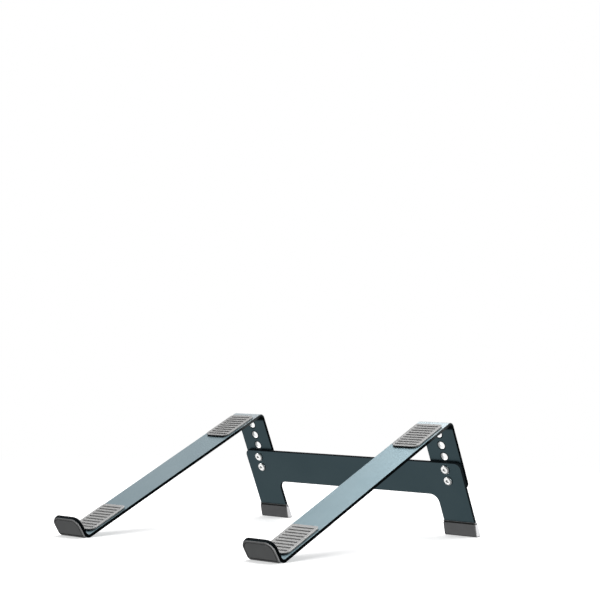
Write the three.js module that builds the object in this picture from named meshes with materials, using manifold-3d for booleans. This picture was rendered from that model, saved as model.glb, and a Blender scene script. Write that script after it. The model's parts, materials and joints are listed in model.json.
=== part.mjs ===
// Laptop stand: two bent flat-bar arms bolted to a flat rear frame, with soft pads and feet.
// Units are millimetres. +X is to the user's right, +Y points away from the user, +Z is up.
// The origin is the bottom centre of the bounding box, on the desk.
import * as THREE from "three";
import { mergeVertices } from "three/addons/utils/BufferGeometryUtils.js";
import Module from "manifold-3d";

const wasm = await Module();
wasm.setup();

// ---- driving dimensions -------------------------------------------------------------------

const OVERALL_WIDTH = 256.4;
const FIT_GAP = 0.3;
const GLUE_GAP = 0.25;

const BAR_WIDTH = 33.5;
const BAR_THICKNESS = 2.8;
const SLOPE_ANGLE = THREE.MathUtils.degToRad(24.9);
const LEG_LEAN = THREE.MathUtils.degToRad(24.9);
const LIP_LEAN = THREE.MathUtils.degToRad(33.7);
const SLOPE_LENGTH = 241.8;
const LIP_LENGTH = 20.8;
const STRIP_LENGTH = 64.8;
const LIP_BEND_RADIUS = 4.75;
const TOP_BEND_RADIUS = 3.75;
const LIP_CORNER_RADIUS = 8;
const STRIP_CORNER_RADIUS = 6;

const HOLE_DIAMETER = 6.8;
const HOLE_PITCH = 11.1;
const HOLE_COUNT = 5;
const FIRST_HOLE = 10.8;
const PINNED_HOLES = { upper: 3, lower: 4 };

const FRAME_THICKNESS = 2.8;
const CROSSBAR_TOP = 37.5;
const CROSSBAR_HEIGHT = 33;
const FRAME_CORNER_RADIUS = 6;
const FRAME_FILLET_RADIUS = 8;

const FOOT_HEIGHT = 13;
const FOOT_WALL = 0.7;
const FOOT_FRONT_LEAN = THREE.MathUtils.degToRad(12.9);
const FOOT_SOLE = 3.6;

const LIP_PAD_THICKNESS = 1;
const LIP_PAD_INSET = 0.5;
const LIP_PAD_HEIGHT = 20.1;
const LIP_PAD_HEEL = 2;
const BEND_CLEARANCE = 0.15;
const LINER_THICKNESS = 1.2;
const LINER_INSET = 1.8;
const LINER_BOTTOM = 5.5;

const GRIP_PAD_WIDTH = 28.4;
const GRIP_PAD_LENGTH = 42.7;
const GRIP_PAD_THICKNESS = 1.4;
const GRIP_PAD_LOWER_RADIUS = 6;
const GRIP_PAD_UPPER_RADIUS = 3;
const FRONT_GRIP_START = 8.8;
const REAR_GRIP_START = 189.8;
const GROOVE_COUNT = 9;
const GROOVE_PITCH = 4.28;
const GROOVE_WIDTH = 1.9;
const GROOVE_LENGTH = 23.7;
const GROOVE_DEPTH = 0.9;
const FIRST_GROOVE = 3.7;

const HEAD_DIAMETER = 8.4;
const HEAD_HEIGHT = 1.6;
const SCREW_DIAMETER = 3.6;
const SCREW_LENGTH = 6.3;
const SOCKET_ACROSS_FLATS = 3;
const SOCKET_DEPTH = 1.2;
const BARREL_DIAMETER = 6.2;
const FLANGE_DIAMETER = 9;
const FLANGE_HEIGHT = 2.2;

const SEGMENTS = 24;
const BEND_SEGMENTS = 8;
const GROOVE_END_SEGMENTS = 4;

// ---- materials ----------------------------------------------------------------------------

const anodised = new THREE.MeshStandardMaterial({ color: 0x70878f, roughness: 0.42, metalness: 0.85 });
const darkSilicone = new THREE.MeshStandardMaterial({ color: 0x828282, roughness: 0.75, metalness: 0 });
const greySilicone = new THREE.MeshStandardMaterial({ color: 0x858585, roughness: 0.7, metalness: 0 });
const footSilicone = new THREE.MeshStandardMaterial({ color: 0x757575, roughness: 0.75, metalness: 0 });
const brightSteel = new THREE.MeshStandardMaterial({ color: 0xe6e6e3, roughness: 0.3, metalness: 1 });

// ---- solids -------------------------------------------------------------------------------

function toSolid(geometry) {
  const bare = geometry.index ? geometry.toNonIndexed() : geometry.clone();
  bare.deleteAttribute("normal");
  bare.deleteAttribute("uv");
  const merged = mergeVertices(bare, 1e-4);
  const corners = merged.index.array;
  const triangles = [];
  for (let i = 0; i < corners.length; i += 3) {
    const [a, b, c] = corners.subarray(i, i + 3);
    if (a !== b && b !== c && c !== a) triangles.push(a, b, c);
  }
  const mesh = new wasm.Mesh({
    numProp: 3,
    vertProperties: Float32Array.from(merged.attributes.position.array),
    triVerts: Uint32Array.from(triangles),
  });
  return new wasm.Manifold(mesh);
}

function toGeometry(solid) {
  const mesh = solid.getMesh();
  const geometry = new THREE.BufferGeometry();
  geometry.setAttribute("position", new THREE.BufferAttribute(mesh.vertProperties, 3));
  geometry.setIndex(new THREE.BufferAttribute(mesh.triVerts, 1));
  geometry.computeVertexNormals();
  return geometry;
}

function subtractAll(geometry, cutters) {
  const solid = cutters.reduce((left, cutter) => left.subtract(toSolid(cutter)), toSolid(geometry));
  return toGeometry(solid);
}

function extrude(shape, depth, curveSegments = SEGMENTS / 4) {
  return new THREE.ExtrudeGeometry(shape, { depth, bevelEnabled: false, curveSegments });
}

// Extrudes a side view, drawn as (y, z), across the width about x = 0.
function extrudeSideView(shape, width) {
  const geometry = extrude(shape, width);
  const turn = new THREE.Matrix4().makeBasis(
    new THREE.Vector3(0, 1, 0),
    new THREE.Vector3(0, 0, 1),
    new THREE.Vector3(1, 0, 0),
  );
  geometry.applyMatrix4(turn);
  geometry.translate(-width / 2, 0, 0);
  return geometry;
}

// ---- the bent bar's side view ---------------------------------------------------------------

const slopeDirection = new THREE.Vector2(Math.cos(SLOPE_ANGLE), Math.sin(SLOPE_ANGLE));
const lipDirection = new THREE.Vector2(-Math.sin(LIP_LEAN), Math.cos(LIP_LEAN));
const legDirection = new THREE.Vector2(Math.sin(LEG_LEAN), -Math.cos(LEG_LEAN));

// The lip vertex is at y = 0. Its height holds the bend's underside just clear of the desk.
const halfLipAngle = (Math.PI / 2 + LIP_LEAN - SLOPE_ANGLE) / 2;
const bisector = SLOPE_ANGLE + halfLipAngle;
const lipBendCentre = new THREE.Vector2(Math.cos(bisector), Math.sin(bisector));
lipBendCentre.multiplyScalar(LIP_BEND_RADIUS / Math.sin(halfLipAngle));
const lipBendOuter = LIP_BEND_RADIUS + BAR_THICKNESS / 2;
const lipVertex = new THREE.Vector2(0, BEND_CLEARANCE + lipBendOuter - lipBendCentre.y);
const topVertex = lipVertex.clone().addScaledVector(slopeDirection, SLOPE_LENGTH);

// Follows a polyline with rounded corners at a set distance to its left.
// Points is a list of Vector2 and radii gives the centre-line radius at each inner point.
function offsetPath(points, radii, distance) {
  const path = [];
  const directions = points.slice(1).map((point, i) => point.clone().sub(points[i]).normalize());
  const leftOf = (direction) => new THREE.Vector2(-direction.y, direction.x);
  path.push(points[0].clone().addScaledVector(leftOf(directions[0]), distance));
  for (let i = 1; i < points.length - 1; i++) {
    const before = directions[i - 1];
    const after = directions[i];
    const turn = Math.atan2(before.cross(after), before.dot(after));
    const side = Math.sign(turn);
    const setback = radii[i - 1] * Math.tan(Math.abs(turn) / 2);
    const start = points[i].clone().addScaledVector(before, -setback);
    const centre = start.clone().addScaledVector(leftOf(before), side * radii[i - 1]);
    const radius = radii[i - 1] - side * distance;
    const startAngle = leftOf(before).multiplyScalar(-side).angle();
    for (let step = 0; step <= BEND_SEGMENTS; step++) {
      const angle = startAngle + (turn * step) / BEND_SEGMENTS;
      path.push(new THREE.Vector2(Math.cos(angle), Math.sin(angle)).multiplyScalar(radius).add(centre));
    }
  }
  const last = points.length - 1;
  path.push(points[last].clone().addScaledVector(leftOf(directions[last - 1]), distance));
  return path;
}

// The area between two offsets of the same path, as a closed side view.
function bandShape(points, radii, near, far) {
  const nearSide = offsetPath(points, radii, near);
  const farSide = offsetPath(points, radii, far);
  return new THREE.Shape([...nearSide, ...farSide.reverse()]);
}

function rectangle(left, bottom, right, top) {
  const corners = [[left, bottom], [right, bottom], [right, top], [left, top]];
  return new THREE.Shape(corners.map(([x, y]) => new THREE.Vector2(x, y)));
}

// A cutter that rounds one corner of a flat bar end. The bar ends at the plane (y, z) = end, runs
// back along -direction, and the cutter passes right through its thickness on side +1 or -1.
function cornerCutter(end, direction, radius, halfWidth, side) {
  const margin = 1;
  const reach = 2 * BAR_THICKNESS + 4 * LIP_PAD_THICKNESS;
  const shape = new THREE.Shape();
  shape.moveTo(halfWidth, -radius);
  shape.absarc(halfWidth - radius, -radius, radius, 0, Math.PI / 2, false);
  shape.lineTo(halfWidth - radius, margin);
  shape.lineTo(halfWidth + margin, margin);
  shape.lineTo(halfWidth + margin, -radius);
  shape.closePath();
  const geometry = extrude(shape, reach, 8);
  geometry.translate(0, 0, -reach / 2);
  const along = new THREE.Vector3(0, direction.x, direction.y);
  const across = new THREE.Vector3(side, 0, 0);
  const through = across.clone().cross(along);
  geometry.applyMatrix4(new THREE.Matrix4().makeBasis(across, along, through));
  geometry.translate(0, end.x, end.y);
  return geometry;
}

function roundEnd(end, direction, radius, width) {
  return [1, -1].map((side) => cornerCutter(end, direction, radius, width / 2, side));
}

// A cylinder whose axis lies along a (y, z) direction, centred on a (y, z) point.
function crossCylinder(diameter, length, centre, direction) {
  const geometry = new THREE.CylinderGeometry(diameter / 2, diameter / 2, length, SEGMENTS);
  const axis = new THREE.Vector3(0, direction.x, direction.y);
  geometry.applyQuaternion(new THREE.Quaternion().setFromUnitVectors(new THREE.Vector3(0, 1, 0), axis));
  geometry.translate(0, centre.x, centre.y);
  return geometry;
}

// ---- arm ------------------------------------------------------------------------------------

const lipEnd = lipVertex.clone().addScaledVector(lipDirection, LIP_LENGTH);
const stripEnd = topVertex.clone().addScaledVector(legDirection, STRIP_LENGTH);
const legNormal = new THREE.Vector2(-Math.cos(LEG_LEAN), -Math.sin(LEG_LEAN));

function holeCentre(index) {
  return topVertex.clone().addScaledVector(legDirection, FIRST_HOLE + HOLE_PITCH * index);
}

function armGeometry() {
  const path = [lipEnd, lipVertex, topVertex, stripEnd];
  const radii = [LIP_BEND_RADIUS, TOP_BEND_RADIUS];
  const bar = extrudeSideView(bandShape(path, radii, BAR_THICKNESS / 2, -BAR_THICKNESS / 2), BAR_WIDTH);
  const cutters = [
    ...roundEnd(lipEnd, lipDirection, LIP_CORNER_RADIUS, BAR_WIDTH),
    ...roundEnd(stripEnd, legDirection, STRIP_CORNER_RADIUS, BAR_WIDTH),
  ];
  for (let i = 0; i < HOLE_COUNT; i++) {
    cutters.push(crossCylinder(HOLE_DIAMETER, 3 * BAR_THICKNESS, holeCentre(i), legNormal));
  }
  return subtractAll(bar, cutters);
}

// ---- soft pads on the lip ---------------------------------------------------------------------

// The outer pad covers the lip's front face and follows the bend down to the desk, where its lower
// edge is cut level to stand on. It stops a little in front of the bend's lowest line.
function lipPadGeometry() {
  const width = BAR_WIDTH - 2 * LIP_PAD_INSET;
  const top = lipVertex.clone().addScaledVector(lipDirection, LIP_PAD_HEIGHT);
  const tail = lipVertex.clone().addScaledVector(slopeDirection, 2 * LIP_BEND_RADIUS);
  const near = -(BAR_THICKNESS / 2 + GLUE_GAP);
  const shape = bandShape([top, lipVertex, tail], [LIP_BEND_RADIUS], near, near - LIP_PAD_THICKNESS);
  const radius = LIP_CORNER_RADIUS - LIP_PAD_INSET;
  const heel = lipBendCentre.x - LIP_PAD_HEEL;
  const reach = 2 * LIP_LENGTH;
  const belowDesk = rectangle(-reach, -reach, reach, 0);
  const behindHeel = rectangle(heel, -reach, reach, reach);
  return subtractAll(extrudeSideView(shape, width), [
    ...roundEnd(top, lipDirection, radius, width),
    extrudeSideView(belowDesk, 2 * width),
    extrudeSideView(behindHeel, 2 * width),
  ]);
}

// The inner pad is flat and faces the laptop's front edge.
function lipLinerGeometry() {
  const width = BAR_WIDTH - 2 * LINER_INSET;
  const top = lipVertex.clone().addScaledVector(lipDirection, LIP_LENGTH - LINER_INSET);
  const bottom = lipVertex.clone().addScaledVector(lipDirection, LINER_BOTTOM);
  const near = BAR_THICKNESS / 2 + GLUE_GAP;
  const shape = bandShape([top, bottom], [], near, near + LINER_THICKNESS);
  const radius = LIP_CORNER_RADIUS - LINER_INSET;
  return subtractAll(extrudeSideView(shape, width), roundEnd(top, lipDirection, radius, width));
}

// ---- ribbed grip pads -------------------------------------------------------------------------

// Drawn flat: x across the bar, y up the slope from the pad's lower edge, z off the bar.
function gripPadGeometry() {
  const half = GRIP_PAD_WIDTH / 2;
  const lower = GRIP_PAD_LOWER_RADIUS;
  const upper = GRIP_PAD_UPPER_RADIUS;
  const outline = new THREE.Shape();
  outline.moveTo(-half + lower, 0);
  outline.absarc(half - lower, lower, lower, -Math.PI / 2, 0, false);
  outline.absarc(half - upper, GRIP_PAD_LENGTH - upper, upper, 0, Math.PI / 2, false);
  outline.absarc(-half + upper, GRIP_PAD_LENGTH - upper, upper, Math.PI / 2, Math.PI, false);
  outline.absarc(-half + lower, lower, lower, Math.PI, 1.5 * Math.PI, false);
  const grooves = [];
  for (let i = 0; i < GROOVE_COUNT; i++) {
    const groove = extrude(slotShape(GROOVE_LENGTH, GROOVE_WIDTH), GRIP_PAD_THICKNESS, GROOVE_END_SEGMENTS);
    groove.translate(0, FIRST_GROOVE + GROOVE_PITCH * i, GRIP_PAD_THICKNESS - GROOVE_DEPTH);
    grooves.push(groove);
  }
  return subtractAll(extrude(outline, GRIP_PAD_THICKNESS), grooves);
}

function slotShape(length, width) {
  const reach = (length - width) / 2;
  const shape = new THREE.Shape();
  shape.moveTo(-reach, -width / 2);
  shape.absarc(reach, 0, width / 2, -Math.PI / 2, Math.PI / 2, false);
  shape.absarc(-reach, 0, width / 2, Math.PI / 2, 1.5 * Math.PI, false);
  return shape;
}

// ---- rear frame ---------------------------------------------------------------------------------

const frameBack = BAR_THICKNESS / 2 + FIT_GAP;
const frameFront = frameBack + FRAME_THICKNESS;

// A point in the leg's own axes: distance down the leg from the top vertex, and out to its front.
function legPoint(down, forward) {
  return topVertex.clone().addScaledVector(legDirection, down).addScaledVector(legNormal, forward);
}

const frameCentre = (frameBack + frameFront) / 2;
const frameFloor = legPoint(0, frameCentre).y / Math.cos(LEG_LEAN);
const legEnd = frameFloor - FOOT_SOLE;

// Drawn flat: x across the stand, y up the leg (so down the leg is -y), z out of the front face.
function rearFrameGeometry() {
  const outer = OVERALL_WIDTH / 2;
  const inner = outer - BAR_WIDTH;
  const corner = FRAME_CORNER_RADIUS;
  const fillet = FRAME_FILLET_RADIUS;
  const top = -CROSSBAR_TOP;
  const under = top - CROSSBAR_HEIGHT;
  const end = -legEnd;
  const shape = new THREE.Shape();
  shape.moveTo(-outer, end);
  shape.lineTo(-inner, end);
  shape.absarc(-inner + fillet, under - fillet, fillet, Math.PI, Math.PI / 2, true);
  shape.absarc(inner - fillet, under - fillet, fillet, Math.PI / 2, 0, true);
  shape.lineTo(inner, end);
  shape.lineTo(outer, end);
  shape.absarc(outer - corner, top - corner, corner, 0, Math.PI / 2, false);
  shape.absarc(-outer + corner, top - corner, corner, Math.PI / 2, Math.PI, false);
  for (const side of [-1, 1]) {
    for (const index of Object.values(PINNED_HOLES)) {
      const hole = new THREE.Path();
      const down = FIRST_HOLE + HOLE_PITCH * index;
      hole.absarc(side * (outer - BAR_WIDTH / 2), -down, HOLE_DIAMETER / 2, 0, 2 * Math.PI, true);
      shape.holes.push(hole);
    }
  }
  return extrude(shape, FRAME_THICKNESS, SEGMENTS / 2);
}

// ---- foot caps ------------------------------------------------------------------------------------

// A wedge that slips over the leg's end: its back follows the leg, its front stands steeper, and its
// sole is flat on the desk.
function footCapGeometry() {
  const wall = FOOT_WALL;
  const frontTop = legPoint(0, frameFront + wall);
  const backTop = legPoint(0, frameBack - wall);
  const lean = Math.tan(LEG_LEAN);
  const frontY = frontTop.x + (frontTop.y - FOOT_HEIGHT) * lean;
  const backY = backTop.x + (backTop.y - FOOT_HEIGHT) * lean;
  const side = new THREE.Shape();
  side.moveTo(frontY, FOOT_HEIGHT);
  side.lineTo(frontY + FOOT_HEIGHT * Math.tan(FOOT_FRONT_LEAN), 0);
  side.lineTo(backY + FOOT_HEIGHT * lean, 0);
  side.lineTo(backY, FOOT_HEIGHT);
  side.closePath();
  const body = extrudeSideView(side, BAR_WIDTH + 2 * wall);
  const pocketTop = legEnd - 2 * FOOT_HEIGHT;
  const pocketEnd = legEnd + GLUE_GAP;
  const pocket = new THREE.Shape([
    legPoint(pocketTop, frameBack - GLUE_GAP),
    legPoint(pocketTop, frameFront + GLUE_GAP),
    legPoint(pocketEnd, frameFront + GLUE_GAP),
    legPoint(pocketEnd, frameBack - GLUE_GAP),
  ]);
  return subtractAll(body, [extrudeSideView(pocket, BAR_WIDTH + 2 * GLUE_GAP)]);
}

// ---- fasteners --------------------------------------------------------------------------------------

function revolve(profile) {
  const geometry = new THREE.LatheGeometry(profile.map(([r, h]) => new THREE.Vector2(r, h)), SEGMENTS);
  geometry.rotateX(Math.PI / 2);
  return geometry;
}

function hexSocket(depth, top) {
  const circumradius = SOCKET_ACROSS_FLATS / Math.sqrt(3);
  const geometry = new THREE.CylinderGeometry(circumradius, circumradius, depth, 6);
  geometry.rotateX(Math.PI / 2);
  geometry.translate(0, 0, top - depth / 2);
  return geometry;
}

// The screw's axis is z: the head's underside is at z = 0 and the shank points to -z.
function screwGeometry() {
  const shank = SCREW_DIAMETER / 2;
  const head = HEAD_DIAMETER / 2;
  const tipChamfer = 0.5;
  const rim = 0.7;
  const body = revolve([
    [0, -SCREW_LENGTH],
    [shank - tipChamfer, -SCREW_LENGTH],
    [shank, -SCREW_LENGTH + tipChamfer],
    [shank, 0],
    [head, 0],
    [head, rim],
    [0.92 * head, 0.6 * HEAD_HEIGHT],
    [0.75 * head, 0.87 * HEAD_HEIGHT],
    [0.5 * head, HEAD_HEIGHT],
    [0, HEAD_HEIGHT],
  ]);
  const overshoot = 0.5;
  return subtractAll(body, [hexSocket(SOCKET_DEPTH + overshoot, HEAD_HEIGHT + overshoot)]);
}

const gripThickness = FRAME_THICKNESS + FIT_GAP + BAR_THICKNESS;

// The barrel nut's axis is z: the flange's front face is at z = 0 and the barrel points to +z.
function barrelNutGeometry() {
  const barrel = BARREL_DIAMETER / 2;
  const bore = SCREW_DIAMETER / 2 + FIT_GAP;
  const flange = FLANGE_DIAMETER / 2;
  const length = gripThickness + FIT_GAP;
  const boreFloor = -0.4;
  const chamfer = 0.4;
  const body = revolve([
    [0, -FLANGE_HEIGHT],
    [flange - chamfer, -FLANGE_HEIGHT],
    [flange, -FLANGE_HEIGHT + chamfer],
    [flange, 0],
    [barrel, 0],
    [barrel, length],
    [bore, length],
    [bore, boreFloor],
    [0, boreFloor],
  ]);
  const overshoot = 0.5;
  const socket = hexSocket(SOCKET_DEPTH + overshoot, -FLANGE_HEIGHT + SOCKET_DEPTH);
  return subtractAll(body, [socket]);
}

// ---- assembly -----------------------------------------------------------------------------------------

const stand = new THREE.Group();
const sides = [
  { name: "left", sign: -1 },
  { name: "right", sign: 1 },
];
const armCentre = (OVERALL_WIDTH - BAR_WIDTH) / 2;

function addPiece(parent, name, geometry, material) {
  const mesh = new THREE.Mesh(geometry, material);
  mesh.name = name;
  parent.add(mesh);
  return mesh;
}

// Places a mesh drawn flat (x across, y up the surface, z off it) on a plane through a (y, z) point.
function layOn(mesh, point, upward) {
  const up = new THREE.Vector3(0, upward.x, upward.y);
  const across = new THREE.Vector3(1, 0, 0);
  const out = across.clone().cross(up);
  mesh.quaternion.setFromRotationMatrix(new THREE.Matrix4().makeBasis(across, up, out));
  mesh.position.set(mesh.position.x, point.x, point.y);
}

const slopeNormal = new THREE.Vector2(-slopeDirection.y, slopeDirection.x);
const upTheLeg = legDirection.clone().negate();

function gripPadPlace(start) {
  return lipVertex
    .clone()
    .addScaledVector(slopeDirection, start)
    .addScaledVector(slopeNormal, BAR_THICKNESS / 2 + GLUE_GAP);
}

for (const { name, sign } of sides) {
  const arm = new THREE.Group();
  arm.position.x = sign * armCentre;
  addPiece(arm, `arm_${name}`, armGeometry(), anodised);
  addPiece(arm, `lip_pad_${name}`, lipPadGeometry(), darkSilicone);
  addPiece(arm, `lip_liner_${name}`, lipLinerGeometry(), darkSilicone);
  addPiece(arm, `foot_cap_${name}`, footCapGeometry(), footSilicone);
  const frontPad = addPiece(arm, `front_grip_pad_${name}`, gripPadGeometry(), greySilicone);
  layOn(frontPad, gripPadPlace(FRONT_GRIP_START), slopeDirection);
  const rearPad = addPiece(arm, `rear_grip_pad_${name}`, gripPadGeometry(), greySilicone);
  layOn(rearPad, gripPadPlace(REAR_GRIP_START), slopeDirection);
  for (const [level, index] of Object.entries(PINNED_HOLES)) {
    const down = FIRST_HOLE + HOLE_PITCH * index;
    const screw = addPiece(arm, `screw_${name}_${level}`, screwGeometry(), brightSteel);
    layOn(screw, legPoint(down, frameFront + FIT_GAP), upTheLeg);
    const nut = addPiece(arm, `barrel_nut_${name}_${level}`, barrelNutGeometry(), brightSteel);
    layOn(nut, legPoint(down, -BAR_THICKNESS / 2 - FIT_GAP), upTheLeg);
  }
  stand.add(arm);
}

const rearFrame = addPiece(stand, "rear_frame", rearFrameGeometry(), anodised);
layOn(rearFrame, legPoint(0, frameBack), upTheLeg);

stand.updateMatrixWorld(true);
const bounds = new THREE.Box3().setFromObject(stand);
stand.position.y = -(bounds.min.y + bounds.max.y) / 2;

export default stand;
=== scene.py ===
"""Laptop stand: the visual model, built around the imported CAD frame.

Units are metres. +X is to the user's right, +Y points away from the user and +Z is up.
Each piece is built from a few driving dimensions and the box of the CAD node that it stands for.
"""
import json
import math

import bmesh
import bpy
from mathutils import Matrix, Quaternion, Vector


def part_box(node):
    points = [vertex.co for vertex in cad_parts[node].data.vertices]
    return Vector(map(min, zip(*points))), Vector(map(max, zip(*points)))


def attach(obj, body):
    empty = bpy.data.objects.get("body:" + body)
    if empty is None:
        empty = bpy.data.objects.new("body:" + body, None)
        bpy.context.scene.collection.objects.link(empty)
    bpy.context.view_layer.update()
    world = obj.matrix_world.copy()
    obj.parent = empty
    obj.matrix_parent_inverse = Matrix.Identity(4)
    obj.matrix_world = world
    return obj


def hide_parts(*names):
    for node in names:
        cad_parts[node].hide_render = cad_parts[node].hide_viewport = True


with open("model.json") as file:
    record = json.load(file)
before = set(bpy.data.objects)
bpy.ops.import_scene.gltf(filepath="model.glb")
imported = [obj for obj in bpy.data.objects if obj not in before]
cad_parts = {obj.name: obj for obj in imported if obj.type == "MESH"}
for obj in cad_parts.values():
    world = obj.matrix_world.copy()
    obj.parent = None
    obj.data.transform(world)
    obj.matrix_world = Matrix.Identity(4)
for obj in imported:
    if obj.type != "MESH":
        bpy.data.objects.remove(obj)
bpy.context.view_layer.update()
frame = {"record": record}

# ---- driving dimensions ---------------------------------------------------------------------

BAR_THICKNESS = 0.0028
SLOPE_ANGLE = math.radians(24.9)
LEG_LEAN = math.radians(24.9)
LIP_LEAN = math.radians(33.7)
SLOPE_LENGTH = 0.2418
LIP_LENGTH = 0.0208
STRIP_LENGTH = 0.0648
LIP_BEND_RADIUS = 0.00475
TOP_BEND_RADIUS = 0.00375
LIP_CORNER_RADIUS = 0.008
STRIP_CORNER_RADIUS = 0.006
BAR_EDGE = 0.0005
BEND_CLEARANCE = 0.00015

HOLE_RADIUS = 0.0034
HOLE_PITCH = 0.0111
HOLE_COUNT = 5
FIRST_HOLE = 0.0108
PINNED_HOLES = {"upper": 3, "lower": 4}
HOLE_EDGE = 0.0003
# HOLE_RIM: how far the shade painted round each hole reaches over the flat face.
HOLE_RIM = 0.0012

# The vertices carry marks from 0 to 1 for rubbed edges, painted shade, bare bores and a painted
# reflection.
# These values say how far the marks reach, how strong they are and what they do to the surface.
# Painted shade, nearly black, in the hollow of the upper bend: how far it reaches and how dark it is.
HOLLOW_REACH = 0.003
HOLLOW_PAINTED_SHADE = 0.95
# A painted reflection, pale neutral grey, on the crest and the cut edge beside it: its reach, fade and
# strength.
REFLECTION_REACH = 0.034
REFLECTION_FADE = 0.012
TOP_REFLECTION = 0.4
SIDE_REFLECTION = 0.45
# Extra roughness where shade is painted.
PAINTED_SHADE_ROUGHNESS = 0.55
BLOOM_LIFT = 1.25
WALL_FROM = 0.2
WALL_TO = 0.45

FIT_GAP = 0.0003
GLUE_GAP = 0.00025
TOUCH_GAP = 0.00004
SMALL_STEP = 0.0001

FRAME_THICKNESS = 0.0028
CROSSBAR_TOP = 0.0375
CROSSBAR_HEIGHT = 0.033
FRAME_CORNER_RADIUS = 0.006
FRAME_FILLET_RADIUS = 0.008
FRAME_EDGE = 0.0008

LIP_PAD_THICKNESS = 0.001
LIP_PAD_INSET = 0.0005
LIP_PAD_HEIGHT = 0.0201
LIP_PAD_HEEL = 0.002
LIP_PAD_LOWER_RADIUS = 0.0026
LIP_PAD_LINE = 0.0012
LIP_PAD_LINE_WIDTH = 0.0007
LIP_PAD_LINE_DEPTH = 0.0004
# How dark the shade painted in the lip pad's line is.
LIP_PAD_LINE_SHADE = 0.8
LINER_THICKNESS = 0.0012
LINER_INSET = 0.0018
LINER_BOTTOM = 0.0055
PAD_EDGE = 0.00035
# How dark the shade painted on the pads' sides is.
PAD_SHADE = 0.55

GRIP_PAD_WIDTH = 0.0284
GRIP_PAD_LENGTH = 0.0427
GRIP_PAD_THICKNESS = 0.0014
GRIP_PAD_LOWER_RADIUS = 0.006
GRIP_PAD_UPPER_RADIUS = 0.003
GRIP_PAD_EDGE = 0.00035
GRIP_PAD_RIM = 0.0004
GRIP_PAD_UNDERCUT = 0.0008
# How much the shade painted on a grip pad's undercut fades up its sides.
GRIP_PAD_SIDE_FADE = 0.85
GRIP_STARTS = {"front": 0.0088, "rear": 0.1898}
GROOVE_COUNT = 9
GROOVE_PITCH = 0.00428
GROOVE_WIDTH = 0.0019
GROOVE_LENGTH = 0.0237
GROOVE_DEPTH = 0.0009
FIRST_GROOVE = 0.0037
GROOVE_EDGE = 0.0002

FOOT_WALL = 0.0007
FOOT_FRONT_LEAN = math.radians(12.9)
FOOT_CORNER = 0.0012
FOOT_CORNER_SHRINK = 0.6
FOOT_EDGE = 0.0011
# How dark the shade painted on the foot's lower edge and near corners is.
FOOT_SHADE = 0.8
FOOT_SEAM_DROP = 0.0005
FOOT_SEAM_HEIGHT = 0.0012
FOOT_SEAM_DEPTH = 0.0004

HEAD_RADIUS = 0.0042
HEAD_HEIGHT = 0.0016
HEAD_RIM = 0.0006
HEAD_FLAT_RADIUS = 0.0021
SHANK_RADIUS = 0.0018
SHANK_LENGTH = 0.0063
THREAD_PITCH = 0.0007
THREAD_DEPTH = 0.0003
THREAD_SHARPNESS = 1.25
THREAD_STEPS = 8
SOCKET_APOTHEM = 0.0015
SOCKET_DEPTH = 0.0012
SOCKET_CHAMFER = 0.00012
SOCKET_CONE = 1.12
SOCKET_TIP = 0.3
BARREL_RADIUS = 0.0031
FLANGE_RADIUS = 0.0045
FLANGE_HEIGHT = 0.0022

CORNER_STEPS = 12
EDGE_STEPS = 6
BEND_STEPS = 24
HOLE_POINTS = 48
TURNED_POINTS = 48
SHARP_CORNER = math.radians(34)

SIDES = ("left", "right")


# ---- flat outlines: lists of (x, y) points, counter-clockwise -------------------------------


def arc(centre, radius, start, end, steps=CORNER_STEPS):
    """Points along an arc between two angles in degrees, both ends included."""
    angles = [math.radians(start + (end - start) * i / steps) for i in range(steps + 1)]
    return [(centre[0] + radius * math.cos(a), centre[1] + radius * math.sin(a)) for a in angles]


def rounded_strip(half_width, low, high, low_radius, high_radius):
    """A strip across x from y = low to y = high, with its own corner radius at each end."""
    left, right = -half_width, half_width
    return (
        arc((right - low_radius, low + low_radius), low_radius, -90, 0)
        + arc((right - high_radius, high - high_radius), high_radius, 0, 90)
        + arc((left + high_radius, high - high_radius), high_radius, 90, 180)
        + arc((left + low_radius, low + low_radius), low_radius, 180, 270)
    )


def circle(centre, radius):
    """A closed circle, with its first point given once."""
    return arc(centre, radius, 0, 360, HOLE_POINTS)[:-1]


def slot_outline(centre, length, width):
    """A slot along x with round ends."""
    reach = (length - width) / 2
    right = (centre[0] + reach, centre[1])
    left = (centre[0] - reach, centre[1])
    return arc(right, width / 2, -90, 90) + arc(left, width / 2, 90, 270)


def grown(outline, distance):
    """The outline moved outward by a distance, or inward where it is negative."""
    points = [Vector(p) for p in outline]
    moved = []
    for i, point in enumerate(points):
        before = (point - points[i - 1]).normalized()
        after = (points[(i + 1) % len(points)] - point).normalized()
        out_before = Vector((before.y, -before.x))
        out_after = Vector((after.y, -after.x))
        miter = (out_before + out_after) / (1 + out_before.dot(out_after))
        moved.append(point + miter * distance)
    return [(p.x, p.y) for p in moved]


# ---- mesh making ----------------------------------------------------------------------------


def new_mesh():
    """An empty mesh whose vertices say how far they are on a rubbed edge, under painted shade, on a
    bare bore or under a painted reflection."""
    mesh = bmesh.new()
    for name in ("edge", "cut", "bare", "polish"):
        mesh.verts.layers.float.new(name)
    return mesh


def add_ring(mesh, outline, height, edge=0.0, wall=0.0, wall_kind="cut"):
    """A closed row of vertices at one height, with its rubbed-edge mark and one other mark."""
    edge_layer = mesh.verts.layers.float["edge"]
    wall_layer = mesh.verts.layers.float[wall_kind]
    ring = [mesh.verts.new((x, y, height)) for x, y in outline]
    for vertex in ring:
        vertex[edge_layer] = edge
        vertex[wall_layer] = wall
    return ring


def join_rings(mesh, first, second):
    """A band of four-sided faces between two rings with the same number of vertices."""
    for i in range(len(first)):
        j = (i + 1) % len(first)
        mesh.faces.new((first[i], first[j], second[j], second[i]))


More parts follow.
